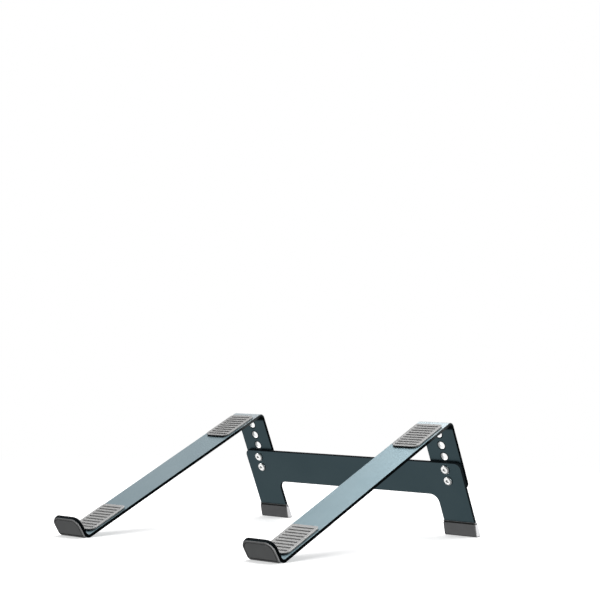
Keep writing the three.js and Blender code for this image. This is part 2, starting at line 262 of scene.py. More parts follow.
def rounding(radius):
    """(inset, drop, edge) from a flat face, where the inset is the radius, round to the wall."""
    turns = [math.pi / 2 * i / EDGE_STEPS for i in range(EDGE_STEPS + 1)]
    return [(radius * (1 - math.sin(a)), radius * (1 - math.cos(a)), math.sin(2 * a)) for a in turns]


def wallness(inset, radius):
    """How far a point on a rounded edge has left the flat face for the wall, from 0 to 1."""
    return min(1.0, max(0.0, (1 - inset / radius - WALL_FROM) / (WALL_TO - WALL_FROM)))


def wall(mesh, outline, top, bottom, top_edge, bottom_edge, outward, middle=(), darkness=1.0):
    """The side of a plate with both of its edges rounded; outward is -1 round a hole. Middle gives
    the heights of any rings between the two edges, and darkness how dark the shade painted on the side
    is."""
    # An outer side carries painted shade; a hole's bore carries the bare mark instead.
    kind = "cut" if outward > 0 else "bare"
    rows = [
        (inset, top - drop, edge, wallness(inset, top_edge))
        for inset, drop, edge in rounding(top_edge)
    ]
    rows += [(0.0, height, 0.0, 1.0) for height in middle]
    rows += [
        (inset, bottom + drop, edge, wallness(inset, bottom_edge))
        for inset, drop, edge in reversed(rounding(bottom_edge))
    ]
    rings = []
    for inset, height, edge, side in rows:
        moved = grown(outline, -outward * inset)
        rings.append(add_ring(mesh, moved, height, edge * (1 - side), side * darkness, kind))
    if outward < 0:
        rings = painted_rim_shade(mesh, outline, rings, top, bottom)
    for upper, lower in zip(rings, rings[1:]):
        join_rings(mesh, upper, lower)
    return rings[0], rings[-1]


def painted_rim_shade(mesh, outline, rings, top, bottom):
    """Paints shade on a hole's two rims, fading out over a narrow ring of the flat face round each."""
    shade_layer = mesh.verts.layers.float["cut"]
    for rim in (rings[0], rings[-1]):
        for vertex in rim:
            vertex[shade_layer] = 1.0
    around = grown(outline, HOLE_EDGE + HOLE_RIM)
    return [add_ring(mesh, around, top)] + rings + [add_ring(mesh, around, bottom)]


def groove(mesh, outline, top, depth, edge):
    """A blind groove with a rounded rim and a filleted floor. Returns its rim."""
    rows = [(inset, top - drop, wear) for inset, drop, wear in rounding(edge)]
    floor = top - depth
    rows += [(-drop, floor + inset, 0.0) for inset, drop, _ in rounding(edge)]
    rings = [add_ring(mesh, grown(outline, outset), height, wear) for outset, height, wear in rows]
    for upper, lower in zip(rings, rings[1:]):
        join_rings(mesh, upper, lower)
    cap(mesh, [rings[-1]])
    return rings[0]


def cap(mesh, rings):
    """Fills the flat area between an outer ring and the rings inside it."""
    edges = [mesh.edges.get((ring[i - 1], ring[i])) for ring in rings for i in range(len(ring))]
    bmesh.ops.triangle_fill(mesh, edges=edges, use_beauty=True, use_dissolve=False)


def plate(outline, top, bottom, edge, holes=()):
    """A flat plate drawn in x and y, with rounded edges and through holes."""
    mesh = new_mesh()
    rims = [wall(mesh, outline, top, bottom, edge, edge, 1)]
    rims += [wall(mesh, hole, top, bottom, HOLE_EDGE, HOLE_EDGE, -1) for hole in holes]
    cap(mesh, [upper for upper, _ in rims])
    cap(mesh, [lower for _, lower in rims])
    return mesh


def cut_across(mesh, places):
    """Adds a line of vertices across the mesh at each y, so that it can be bent there."""
    for place in places:
        everything = mesh.verts[:] + mesh.edges[:] + mesh.faces[:]
        bmesh.ops.bisect_plane(
            mesh, geom=everything, dist=1e-7, plane_co=(0, place, 0), plane_no=(0, 1, 0)
        )


def turned(rows):
    """A closed solid round the z axis. Each row is (height, radius, edge), and the radius may be a
    function of the angle."""
    mesh = new_mesh()
    angles = [2 * math.pi * i / TURNED_POINTS for i in range(TURNED_POINTS)]
    rings = []
    for height, radius, edge in rows:
        radii = [radius(a) if callable(radius) else radius for a in angles]
        outline = [(r * math.cos(a), r * math.sin(a)) for r, a in zip(radii, angles)]
        rings.append(add_ring(mesh, outline, height, edge))
    for upper, lower in zip(rings, rings[1:]):
        join_rings(mesh, upper, lower)
    mesh.faces.new(rings[0])
    mesh.faces.new(reversed(rings[-1]))
    return mesh


def body_of_node(node):
    """The name of the moving body that a CAD node belongs to."""
    bodies = frame["record"]["behaviour"]["bodies"]
    return next(body for body, nodes in bodies.items() if node in nodes)


def make_piece(node, mesh, material, place=None):
    """Turns a finished mesh into the shown piece for a CAD node. Place is its local frame."""
    bmesh.ops.recalc_face_normals(mesh, faces=mesh.faces[:])
    for edge in mesh.edges:
        edge.smooth = edge.calc_face_angle(0.0) < SHARP_CORNER
    data = bpy.data.meshes.new(f"detailed_{node}")
    mesh.to_mesh(data)
    mesh.free()
    data.materials.append(material)
    piece = bpy.data.objects.new(f"detailed_{node}", data)
    bpy.context.scene.collection.objects.link(piece)
    piece.matrix_world = place or Matrix.Identity(4)
    shading = piece.modifiers.new("flat faces stay flat", "WEIGHTED_NORMAL")
    shading.weight = 100
    shading.keep_sharp = True
    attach(piece, body_of_node(node))
    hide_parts(node)
    return piece


# ---- the bent bar's centre line -------------------------------------------------------------


def heading_vector(heading):
    """The unit vector along a heading, an angle in the (y, z) plane."""
    return Vector((math.cos(heading), math.sin(heading)))


def left_of(heading):
    """The unit vector square to a heading, to its left."""
    return Vector((-math.sin(heading), math.cos(heading)))


class BentLine:
    """A line in the (y, z) plane: straights joined by bends, followed by the distance along it."""

    def __init__(self, points, radii):
        """Radii gives the bend's radius at each inner point."""
        headings = [math.atan2(b.y - a.y, b.x - a.x) for a, b in zip(points, points[1:])]
        turns = [after - before for before, after in zip(headings, headings[1:])]
        self.setbacks = [r * math.tan(abs(turn) / 2) for r, turn in zip(radii, turns)]
        self.parts = []
        distance = 0.0
        for i, heading in enumerate(headings):
            before = self.setbacks[i - 1] if i > 0 else 0.0
            after = self.setbacks[i] if i < len(turns) else 0.0
            start = points[i] + heading_vector(heading) * before
            length = (points[i + 1] - points[i]).length - before - after
            self.parts.append((distance, start, heading, None))
            distance += length
            if i < len(turns):
                signed_radius = math.copysign(radii[i], turns[i])
                end = start + heading_vector(heading) * length
                self.parts.append((distance, end, heading, signed_radius))
                distance += radii[i] * abs(turns[i])
        self.length = distance

    def starts(self):
        """The distance at which each part begins: straight, bend, straight, bend, straight."""
        return [part[0] for part in self.parts]

    def place(self, distance, off):
        """The (y, z) point at a distance along the line, and off to its left."""
        reached = [part for part in self.parts if distance >= part[0]] or self.parts[:1]
        begin, start, heading, radius = reached[-1]
        if radius is None:
            return start + heading_vector(heading) * (distance - begin) + left_of(heading) * off
        centre = start + left_of(heading) * radius
        return centre + left_of(heading + (distance - begin) / radius) * (off - radius)

    def bend_places(self):
        """The distances at which a flat mesh is cut before it follows the bends."""
        edges = self.starts()
        bends = [(edges[1], edges[2]), (edges[3], edges[4])]
        return [a + (b - a) * i / BEND_STEPS for a, b in bends for i in range(BEND_STEPS + 1)]


BEND_CENTRE_HEIGHT = BEND_CLEARANCE + LIP_BEND_RADIUS + BAR_THICKNESS / 2


def lip_vertex():
    """Where the lip and the slope would meet. The bend's underside hangs just clear of the desk."""
    low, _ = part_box("arm_left")
    y = low.y + BAR_THICKNESS / 2 * math.cos(LIP_LEAN) + LIP_LENGTH * math.sin(LIP_LEAN)
    half_angle = (math.pi / 2 + LIP_LEAN - SLOPE_ANGLE) / 2
    rise = LIP_BEND_RADIUS / math.sin(half_angle) * math.sin(SLOPE_ANGLE + half_angle)
    return Vector((y, BEND_CENTRE_HEIGHT - rise))


LIP_DIRECTION = Vector((-math.sin(LIP_LEAN), math.cos(LIP_LEAN)))
SLOPE_DIRECTION = Vector((math.cos(SLOPE_ANGLE), math.sin(SLOPE_ANGLE)))
LEG_DIRECTION = Vector((math.sin(LEG_LEAN), -math.cos(LEG_LEAN)))
LEG_NORMAL = Vector((-math.cos(LEG_LEAN), -math.sin(LEG_LEAN)))
LIP_VERTEX = lip_vertex()
TOP_VERTEX = LIP_VERTEX + SLOPE_DIRECTION * SLOPE_LENGTH
BAR_LINE = BentLine(
    [
        LIP_VERTEX + LIP_DIRECTION * LIP_LENGTH,
        LIP_VERTEX,
        TOP_VERTEX,
        TOP_VERTEX + LEG_DIRECTION * STRIP_LENGTH,
    ],
    [LIP_BEND_RADIUS, TOP_BEND_RADIUS],
)


def bar_box(side):
    """(centre x, half width) of one arm."""
    low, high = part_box(f"arm_{side}")
    return (low.x + high.x) / 2, (high.x - low.x) / 2


def lay_along_bar(mesh, side):
    """Moves a flat mesh (x across, y along the bar, z off its centre line) onto one arm."""
    centre, _ = bar_box(side)
    for vertex in mesh.verts:
        x, along, off = vertex.co
        y, z = BAR_LINE.place(along, off)
        vertex.co = (centre + x, y, z)


def along_slope(distance):
    """A distance along the bar for a distance up the slope from the lip vertex."""
    return BAR_LINE.starts()[2] + distance - BAR_LINE.setbacks[0]


def down_strip(distance):
    """A distance along the bar for a distance down the strip from the top vertex."""
    return BAR_LINE.starts()[4] + distance - BAR_LINE.setbacks[1]


# ---- materials ------------------------------------------------------------------------------


class Nodes:
    """A material's node tree, with short ways to add and link its nodes."""

    def __init__(self, name):
        self.material = bpy.data.materials.new(name)
        self.material.use_nodes = True
        self.tree = self.material.node_tree
        self.shader = self.tree.nodes["Principled BSDF"]
        self.coordinates = self.tree.nodes.new("ShaderNodeTexCoord").outputs["Object"]

    def link(self, output, socket):
        self.tree.links.new(output, socket)

    def noise(self, scale, detail=2.0, roughness=0.5):
        """Noise over the object's own coordinates, in cells per metre."""
        noise = self.tree.nodes.new("ShaderNodeTexNoise")
        noise.inputs["Scale"].default_value = scale
        noise.inputs["Detail"].default_value = detail
        noise.inputs["Roughness"].default_value = roughness
        self.link(self.coordinates, noise.inputs["Vector"])
        return noise.outputs["Fac"]

    def remap(self, value, low, high, to_low, to_high):
        """The value, with its range from low to high stretched onto another and clamped there."""
        node = self.tree.nodes.new("ShaderNodeMapRange")
        ends = {"From Min": low, "From Max": high, "To Min": to_low, "To Max": to_high}
        for name, number in ends.items():
            node.inputs[name].default_value = number
        self.link(value, node.inputs["Value"])
        return node.outputs["Result"]

    def ramp(self, value, low_colour, high_colour, low=0.0, high=1.0):
        """A colour that runs from one to the other as the value goes from low to high."""
        node = self.tree.nodes.new("ShaderNodeValToRGB")
        node.color_ramp.elements[0].position = low
        node.color_ramp.elements[0].color = (*low_colour, 1)
        node.color_ramp.elements[1].position = high
        node.color_ramp.elements[1].color = (*high_colour, 1)
        self.link(value, node.inputs["Fac"])
        return node.outputs["Color"]

    def mix(self, factor, first, second):
        """The first colour, giving way to a second, plain one as the factor rises."""
        node = self.tree.nodes.new("ShaderNodeMix")
        node.data_type = "RGBA"
        self.link(factor, node.inputs["Factor"])
        self.link(first, node.inputs["A"])
        node.inputs["B"].default_value = (*second, 1)
        return node.outputs["Result"]

    def math(self, operation, first, second):
        """One sum on two values; the second may be a plain number."""
        node = self.tree.nodes.new("ShaderNodeMath")
        node.operation = operation
        self.link(first, node.inputs[0])
        if isinstance(second, float):
            node.inputs[1].default_value = second
        else:
            self.link(second, node.inputs[1])
        return node.outputs["Value"]

    def attribute(self, name):
        """One of the numbers that the mesh's vertices carry."""
        node = self.tree.nodes.new("ShaderNodeAttribute")
        node.attribute_name = name
        return node.outputs["Fac"]

    def bump(self, height, distance):
        """A fine relief over the surface, as deep as the distance in metres."""
        node = self.tree.nodes.new("ShaderNodeBump")
        node.inputs["Distance"].default_value = distance
        node.inputs["Strength"].default_value = 1.0
        self.link(height, node.inputs["Height"])
        return node.outputs["Normal"]


def anodised_material():
    """Bead-blasted, teal-grey anodised aluminium. Its cut edges carry nearly black painted shade, with
    a pale line where they meet the faces; the bores are bare metal, and a painted reflection pales the
    crest."""
    n = Nodes("anodised aluminium")
    bare = n.attribute("bare")
    n.link(n.remap(bare, 0, 1, 1.0, 0.1), n.shader.inputs["Metallic"])
    cloud = n.noise(scale=22, detail=3)
    tone = n.ramp(cloud, (0.150, 0.228, 0.258), (0.172, 0.252, 0.282), 0.3, 0.7)
    wear = n.remap(n.noise(scale=260, detail=3), 0.35, 0.65, 0.1, 0.35)
    rubbed = n.math("MULTIPLY", n.attribute("edge"), wear)
    rubbed_tone = n.mix(rubbed, tone, (0.42, 0.50, 0.52))
    # Painted shade: nearly black where the mark is set.
    painted_shade_tone = n.mix(n.attribute("cut"), rubbed_tone, (0.010, 0.014, 0.016))
    # Painted reflection: pale neutral grey where the mark is set.
    reflection_tone = n.mix(n.attribute("polish"), painted_shade_tone, (0.50, 0.53, 0.54))
    n.link(n.mix(bare, reflection_tone, (0.90, 0.91, 0.91)), n.shader.inputs["Base Color"])
    grain = n.noise(scale=2600, detail=2, roughness=0.6)
    satin = n.remap(grain, 0.3, 0.7, 0.30, 0.37)
    rough = n.math("ADD", satin, n.math("MULTIPLY", n.attribute("cut"), PAINTED_SHADE_ROUGHNESS))
    n.link(rough, n.shader.inputs["Roughness"])
    n.link(n.bump(grain, distance=0.000012), n.shader.inputs["Normal"])
    return n.material


def silicone_material(name, dark, light):
    """Matt moulded silicone with a fine skin, a faint bloom on its edges, and near-black painted shade
    in its seams, undercuts and sides.
    """
    n = Nodes(name)
    cloud = n.noise(scale=140, detail=4)
    tone = n.ramp(cloud, dark, light, 0.3, 0.7)
    pale = tuple(channel * BLOOM_LIFT for channel in light)
    bloom = n.math("MULTIPLY", n.attribute("edge"), n.remap(n.noise(scale=700), 0.3, 0.7, 0.2, 0.5))
    skin_tone = n.mix(bloom, tone, pale)
    # Painted shade: near black where the mark is set.
    n.link(n.mix(n.attribute("cut"), skin_tone, (0.012, 0.012, 0.012)), n.shader.inputs["Base Color"])
    skin = n.noise(scale=3200, detail=3, roughness=0.6)
    n.link(n.remap(skin, 0.3, 0.7, 0.58, 0.72), n.shader.inputs["Roughness"])
    n.shader.inputs["Specular IOR Level"].default_value = 0.35
    n.link(n.bump(skin, distance=0.00002), n.shader.inputs["Normal"])
    return n.material


def steel_material():
    """Bright plated steel with faint turning marks round each fastener's own axis."""
    n = Nodes("bright steel")
    n.shader.inputs["Metallic"].default_value = 1.0
    rings = n.tree.nodes.new("ShaderNodeTexWave")
    rings.wave_type = "RINGS"
    rings.rings_direction = "Z"
    rings.inputs["Scale"].default_value = 900
    rings.inputs["Distortion"].default_value = 1.2
    n.link(n.coordinates, rings.inputs["Vector"])
    cloud = n.noise(scale=900, detail=3)
    tone = n.ramp(cloud, (0.80, 0.80, 0.79), (0.90, 0.90, 0.89), 0.3, 0.7)
    n.link(tone, n.shader.inputs["Base Color"])
    n.link(n.remap(cloud, 0.3, 0.7, 0.26, 0.36), n.shader.inputs["Roughness"])
    n.link(n.bump(rings.outputs["Fac"], distance=0.000004), n.shader.inputs["Normal"])
    return n.material


# ---- pieces on the arms ---------------------------------------------------------------------


def make_arm(side, material):
    """One flat bar with its row of holes, bent into lip, slope and strip."""
    _, half_width = bar_box(side)
    outline = rounded_strip(half_width, 0, BAR_LINE.length, LIP_CORNER_RADIUS, STRIP_CORNER_RADIUS)
    places = [down_strip(FIRST_HOLE + HOLE_PITCH * i) for i in range(HOLE_COUNT)]
    holes = [circle((0, place), HOLE_RADIUS) for place in places]
    half = BAR_THICKNESS / 2
    mesh = plate(outline, half, -half, BAR_EDGE, holes=holes)
    _, _, _, bend_start, bend_end = BAR_LINE.starts()
    # Extra cuts where the painted reflection and the painted shade fade out.
    before_bend = (REFLECTION_REACH, REFLECTION_REACH - REFLECTION_FADE, REFLECTION_FADE / 2)
    shade_lines = [bend_start - reach for reach in before_bend]
    shade_lines += [bend_end + HOLLOW_REACH / 3, bend_end + HOLLOW_REACH]
    cut_across(mesh, BAR_LINE.bend_places() + shade_lines)
    shade_arm(mesh)
    lay_along_bar(mesh, side)
    return make_piece(f"arm_{side}", mesh, material)


def shade_arm(mesh):
    """Paints shade in the hollow of the upper bend, and a pale painted reflection on the crest and the
    cut edge beside it.
    """
    shade_layer = mesh.verts.layers.float["cut"]
    reflection_layer = mesh.verts.layers.float["polish"]
    _, _, _, bend_start, bend_end = BAR_LINE.starts()
    for vertex in mesh.verts:
        place = vertex.co.y
        on_top = vertex.co.z > BAR_THICKNESS / 4
        reach = (place - bend_start + REFLECTION_REACH) / REFLECTION_FADE
        # Painted shade in the hollow under the upper bend.
        if bend_start <= place <= bend_end + HOLLOW_REACH / 2 and not on_top:
            vertex[shade_layer] = max(vertex[shade_layer], HOLLOW_PAINTED_SHADE)
        # Painted reflection on the crest's top, and below the bend on the cut edge beside it.
        if place <= bend_end and on_top:
            vertex[reflection_layer] = TOP_REFLECTION * min(1.0, max(0.0, reach))
        elif place < bend_start - SMALL_STEP:
            vertex[reflection_layer] = SIDE_REFLECTION * min(1.0, max(0.0, reach))


def lip_pad_end(off):
    """How far along the bar the lip pad reaches, at a distance off the bar's centre line. Its lower
    edge is cut level with the desk, and it stops short of the bend's lowest line."""
    radius = LIP_BEND_RADIUS - off
    level = math.acos(min(1.0, BEND_CENTRE_HEIGHT / radius))
    heel = math.asin(LIP_PAD_HEEL / radius)
    lip_to_lowest = math.pi / 2 - LIP_LEAN
    return BAR_LINE.starts()[1] + LIP_BEND_RADIUS * (lip_to_lowest - max(level, heel))


def make_lip_pad(side, material):
    """The soft pad on the lip's front, with a fine line pressed round its face; the line's floor and
    the pad's side carry painted shade. It follows the bend down to the desk."""
    _, half_width = bar_box(side)
    start = LIP_LENGTH - LIP_PAD_HEIGHT
    inner = -(BAR_THICKNESS / 2 + TOUCH_GAP)
    outer = -(BAR_THICKNESS / 2 + GLUE_GAP + LIP_PAD_THICKNESS)
    corner = LIP_BEND_RADIUS - math.hypot(BEND_CENTRE_HEIGHT, LIP_PAD_HEEL)
    end = lip_pad_end(outer)
    outline = rounded_strip(
        half_width - LIP_PAD_INSET, start, end, LIP_CORNER_RADIUS - LIP_PAD_INSET, LIP_PAD_LOWER_RADIUS
    )
    mesh = new_mesh()
    # The pad's side carries painted shade.
    back, face = wall(mesh, outline, inner, outer, TOUCH_GAP, PAD_EDGE, 1, [corner], PAD_SHADE)
    line_end = LIP_PAD_LINE + LIP_PAD_LINE_WIDTH
    floor = outer + LIP_PAD_LINE_DEPTH
    slant = LIP_PAD_LINE_WIDTH / 4
    # The line's floor carries painted shade.
    rows = [
        (LIP_PAD_LINE, outer, 0.0),
        (LIP_PAD_LINE + slant, floor, LIP_PAD_LINE_SHADE),
        (line_end - slant, floor, LIP_PAD_LINE_SHADE),
        (line_end, outer, 0.0),
    ]
    rings = [face]
    for inset, height, shade in rows:
        rings.append(add_ring(mesh, grown(outline, -inset), height, 0.0, shade))
    for first, second in zip(rings, rings[1:]):
        join_rings(mesh, first, second)
    cap(mesh, [back])
    cap(mesh, [rings[-1]])
    bend_start = BAR_LINE.starts()[1]
    cut_across(mesh, [place for place in BAR_LINE.bend_places() if start < place < end])
    for vertex in mesh.verts:
        if vertex.co.y > bend_start:
            stretch = (lip_pad_end(vertex.co.z) - bend_start) / (end - bend_start)
            vertex.co.y = bend_start + (vertex.co.y - bend_start) * stretch
    lay_along_bar(mesh, side)
    return make_piece(f"lip_pad_{side}", mesh, material)


def make_lip_liner(side, material):
    """The thin soft pad on the lip's inside, where the laptop's front edge rests."""
    _, half_width = bar_box(side)
    outline = rounded_strip(
        half_width - LINER_INSET,
        LINER_INSET,
        LIP_LENGTH - LINER_BOTTOM,
        LIP_CORNER_RADIUS - LINER_INSET,
        LIP_PAD_LOWER_RADIUS,
    )
    inner = BAR_THICKNESS / 2 + TOUCH_GAP
    outer = BAR_THICKNESS / 2 + GLUE_GAP + LINER_THICKNESS
    mesh = new_mesh()
    # The liner's side carries painted shade.
    face, back = wall(mesh, outline, outer, inner, PAD_EDGE, TOUCH_GAP, 1, darkness=PAD_SHADE)
    cap(mesh, [face])
    cap(mesh, [back])
    lay_along_bar(mesh, side)
    return make_piece(f"lip_liner_{side}", mesh, material)


def make_grip_pad(side, end, material):
    """A ribbed pad on the slope with a rounded lower end. Its rim overhangs an undercut side, which
    carries near-black painted shade, darkest round the lower end."""
    start = along_slope(GRIP_STARTS[end])
    outline = rounded_strip(
        GRIP_PAD_WIDTH / 2, start, start + GRIP_PAD_LENGTH, GRIP_PAD_LOWER_RADIUS, GRIP_PAD_UPPER_RADIUS
    )
    top = BAR_THICKNESS / 2 + GLUE_GAP + GRIP_PAD_THICKNESS
    rows = [(inset, top - drop, edge) for inset, drop, edge in rounding(GRIP_PAD_EDGE)]
    rows.append((0.0, top - GRIP_PAD_RIM, 0.0))
    # The undercut carries painted shade.
    rows.append((GRIP_PAD_UNDERCUT / 4, top - GRIP_PAD_RIM - SMALL_STEP, 0.0, 1.0))
    rows.append((GRIP_PAD_UNDERCUT, BAR_THICKNESS / 2 + TOUCH_GAP, 0.0, 1.0))
    mesh = new_mesh()
    rings = [add_ring(mesh, grown(outline, -inset), *rest) for inset, *rest in rows]
    for upper, lower in zip(rings, rings[1:]):
        join_rings(mesh, upper, lower)
    # The painted shade fades up the pad's sides.
    shade_layer = mesh.verts.layers.float["cut"]
    for vertex in mesh.verts:
        up_the_side = min(1.0, max(0.0, (vertex.co.y - start) / GRIP_PAD_LOWER_RADIUS))
        vertex[shade_layer] *= 1 - GRIP_PAD_SIDE_FADE * up_the_side
    grooves = [
        slot_outline((0, start + FIRST_GROOVE + GROOVE_PITCH * i), GROOVE_LENGTH, GROOVE_WIDTH)
        for i in range(GROOVE_COUNT)
    ]
    cap(mesh, [rings[0]] + [groove(mesh, slot, top, GROOVE_DEPTH, GROOVE_EDGE) for slot in grooves])
    cap(mesh, [rings[-1]])
    lay_along_bar(mesh, side)
    return make_piece(f"{end}_grip_pad_{side}", mesh, material)


# ---- rear frame and its feet ----------------------------------------------------------------


def leg_point(down, forward):
    """A (y, z) point by its distance down the leg from the top vertex and out to its front."""
    return TOP_VERTEX + LEG_DIRECTION * down + LEG_NORMAL * forward


def frame_back():
    """How far the plate's back lies in front of the strip's centre plane."""
    return BAR_THICKNESS / 2 + FIT_GAP


def make_rear_frame(material):
    """One flat plate: a crossbar with two legs, drawn with y up the legs."""
    low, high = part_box("rear_frame")
    _, half_bar = bar_box("right")
    outer = high.x
    inner = outer - 2 * half_bar
    corner, fillet = FRAME_CORNER_RADIUS, FRAME_FILLET_RADIUS
    top = -CROSSBAR_TOP
    under = top - CROSSBAR_HEIGHT
    front = frame_back() + FRAME_THICKNESS
    end = -(TOP_VERTEX.y - low.z - math.sin(LEG_LEAN) * front) / math.cos(LEG_LEAN)
    outline = [(-outer, end), (-inner, end)]
    outline += arc((-inner + fillet, under - fillet), fillet, 180, 90)
    outline += arc((inner - fillet, under - fillet), fillet, 90, 0)
    outline += [(inner, end), (outer, end)]
    outline += arc((outer - corner, top - corner), corner, 0, 90)
    outline += arc((-outer + corner, top - corner), corner, 90, 180)
    holes = [
        circle((sign * (outer - half_bar), -(FIRST_HOLE + HOLE_PITCH * index)), HOLE_RADIUS)
        for sign in (-1, 1)
        for index in PINNED_HOLES.values()
    ]
    mesh = plate(outline, front, frame_back(), FRAME_EDGE, holes=holes)
    for vertex in mesh.verts:
        x, up, forward = vertex.co
        y, z = leg_point(-up, forward)
        vertex.co = (x, y, z)
    return make_piece("rear_frame", mesh, material)


def make_foot_cap(side, material):
    """A wedge-shaped shoe that holds the leg's end. Its back follows the leg, its front stands steeper,
    and a seam runs round it near the top. Painted shade darkens the seam, the lower edge and the near
    corners."""
    low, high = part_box(f"foot_cap_{side}")
    leg_low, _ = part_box("rear_frame")
    height = high.z
    lean = math.tan(LEG_LEAN)
    across = 1 / math.cos(LEG_LEAN)
    sandwich = (FRAME_THICKNESS + 2 * FOOT_WALL) * across

    def front(z):
        return low.y + (height - z) * math.tan(FOOT_FRONT_LEAN)

    def back(z):
        return low.y + sandwich + (height - z) * lean

    def outer_section(z, inset):
        radius = FOOT_CORNER - FOOT_CORNER_SHRINK * inset
        return section(low.x + inset, high.x - inset, front(z) + inset, back(z) - inset, radius)

    def pocket_section(z, outset):
        side_gap = FOOT_WALL - TOUCH_GAP - outset
        near = low.y + (FOOT_WALL - TOUCH_GAP) * across + (height - z) * lean - outset
        far = near + (FRAME_THICKNESS + 2 * TOUCH_GAP) * across + 2 * outset
        return section(low.x + side_gap, high.x - side_gap, near, far, FRAME_EDGE)

    mesh = new_mesh()
    # The lower rounding carries painted shade, darkest at the desk.
    rows = [
        (outer_section(drop, inset), drop, 0.0, FOOT_SHADE * (1 - drop / FOOT_EDGE))
        for inset, drop, _ in rounding(FOOT_EDGE)
    ]
    rim_edge = FOOT_WALL / 4
    seam_top = height - FOOT_SEAM_DROP
    seam_foot = seam_top - FOOT_SEAM_HEIGHT
    slant = FOOT_SEAM_HEIGHT / 6
    seam = [(0.0, seam_foot), (FOOT_SEAM_DEPTH, seam_foot + slant)]
    seam += [(FOOT_SEAM_DEPTH, seam_top - slant), (0.0, seam_top)]
    rows.append((outer_section(seam_foot - slant, 0), seam_foot - slant, 0.0))
    # The seam's floor carries painted shade.
    rows += [(outer_section(z, inset), z, 0.0, 1.0) for inset, z in seam]
    rows += [
        (outer_section(height - drop, inset), height - drop, edge)
        for inset, drop, edge in reversed(rounding(rim_edge))
    ]
    rows += [
        (pocket_section(height - drop, inset), height - drop, edge)
        for inset, drop, edge in rounding(rim_edge)
    ]
    pocket_floor = leg_low.z - TOUCH_GAP
    rows.append((pocket_section(pocket_floor, 0), pocket_floor, 0.0))
    rings = [add_ring(mesh, *row) for row in rows]
    for first, second in zip(rings, rings[1:]):
        join_rings(mesh, first, second)
    for ring in rings:
        shade_corners(mesh, ring)
    cap(mesh, [rings[0]])
    cap(mesh, [rings[-1]])
    return make_piece(f"foot_cap_{side}", mesh, material)


def section(left, right, near, far, radius):
    """A level rectangle with rounded corners, starting with the two near ones."""
    steps = CORNER_STEPS // 2
    return (
        arc((left + radius, near + radius), radius, 180, 270, steps)
        + arc((right - radius, near + radius), radius, -90, 0, steps)
        + arc((right - radius, far - radius), radius, 0, 90, steps)
        + arc((left + radius, far - radius), radius, 90, 180, steps)
    )


def shade_corners(mesh, ring):
    """Paints shade on a foot section's two near corners, most in the middle of each."""
    shade_layer = mesh.verts.layers.float["cut"]
    steps = CORNER_STEPS // 2
    for i in range(2 * (steps + 1)):
        shade = FOOT_SHADE * math.sin(math.pi * (i % (steps + 1)) / steps)
        ring[i][shade_layer] = max(ring[i][shade_layer], shade)


# ---- fasteners ------------------------------------------------------------------------------


def hexagon(apothem):
    """The radius of a hexagon at each angle."""
    sixth = math.pi / 3

    def radius(angle):
        return apothem / math.cos((angle % sixth) - sixth / 2)

    return radius


def threaded(base, height, depth):
    """The radius of a helical ridge at each angle, at one height."""

    def radius(angle):
        phase = (height / THREAD_PITCH - angle / (2 * math.pi)) % 1
        ridge = max(0.0, 1 - abs(2 * phase - 1) * THREAD_SHARPNESS)
        return base + depth * ridge

    return radius


def thread_rows(base, depth, start, end):
    """Rows of a thread from one height to another."""
    steps = round(abs(end - start) / THREAD_PITCH * THREAD_STEPS)
    heights = [start + (end - start) * i / steps for i in range(steps + 1)]
    return [(h, threaded(base, h, depth), 0.0) for h in heights]


def socket_rows(top, sign):
    """A hexagon socket cut from a flat face down to a shallow cone; sign is the way out of it."""
    return [
        (top, hexagon(SOCKET_APOTHEM + SOCKET_CHAMFER), 0.5),
        (top - sign * SOCKET_CHAMFER, hexagon(SOCKET_APOTHEM), 0.0),
        (top - sign * SOCKET_DEPTH, hexagon(SOCKET_APOTHEM), 0.0),
        (top - sign * SOCKET_DEPTH * SOCKET_CONE, SOCKET_TIP * SOCKET_APOTHEM, 0.0),
    ]


def make_screw(side, level, place, material):
    """A low domed head with a hexagon socket, and a threaded shank. The head's underside is z = 0."""
    dome_steps = 10
    rise = HEAD_HEIGHT - HEAD_RIM
    run = HEAD_RADIUS - HEAD_FLAT_RADIUS
    root = SHANK_RADIUS - THREAD_DEPTH
    tip = 0.0004
    neck = 0.0005
    under_edge = 0.0002
    rows = list(reversed(socket_rows(HEAD_HEIGHT, 1)))
    for i in range(dome_steps + 1):
        turn = math.pi / 2 * i / dome_steps
        rows.append((HEAD_RIM + rise * math.cos(turn), HEAD_FLAT_RADIUS + run * math.sin(turn), 0.0))
    rows += [(drop, HEAD_RADIUS - inset, edge) for inset, drop, edge in reversed(rounding(under_edge))]
    rows += [(0.0, root, 0.0), (-neck, root, 0.0)]
    rows += thread_rows(root, THREAD_DEPTH, -neck - SMALL_STEP, -SHANK_LENGTH + tip)
    rows += [(-SHANK_LENGTH + tip / 2, root, 0.0), (-SHANK_LENGTH, root - tip, 0.0)]
    return make_piece(f"screw_{side}_{level}", turned(rows), material, place)


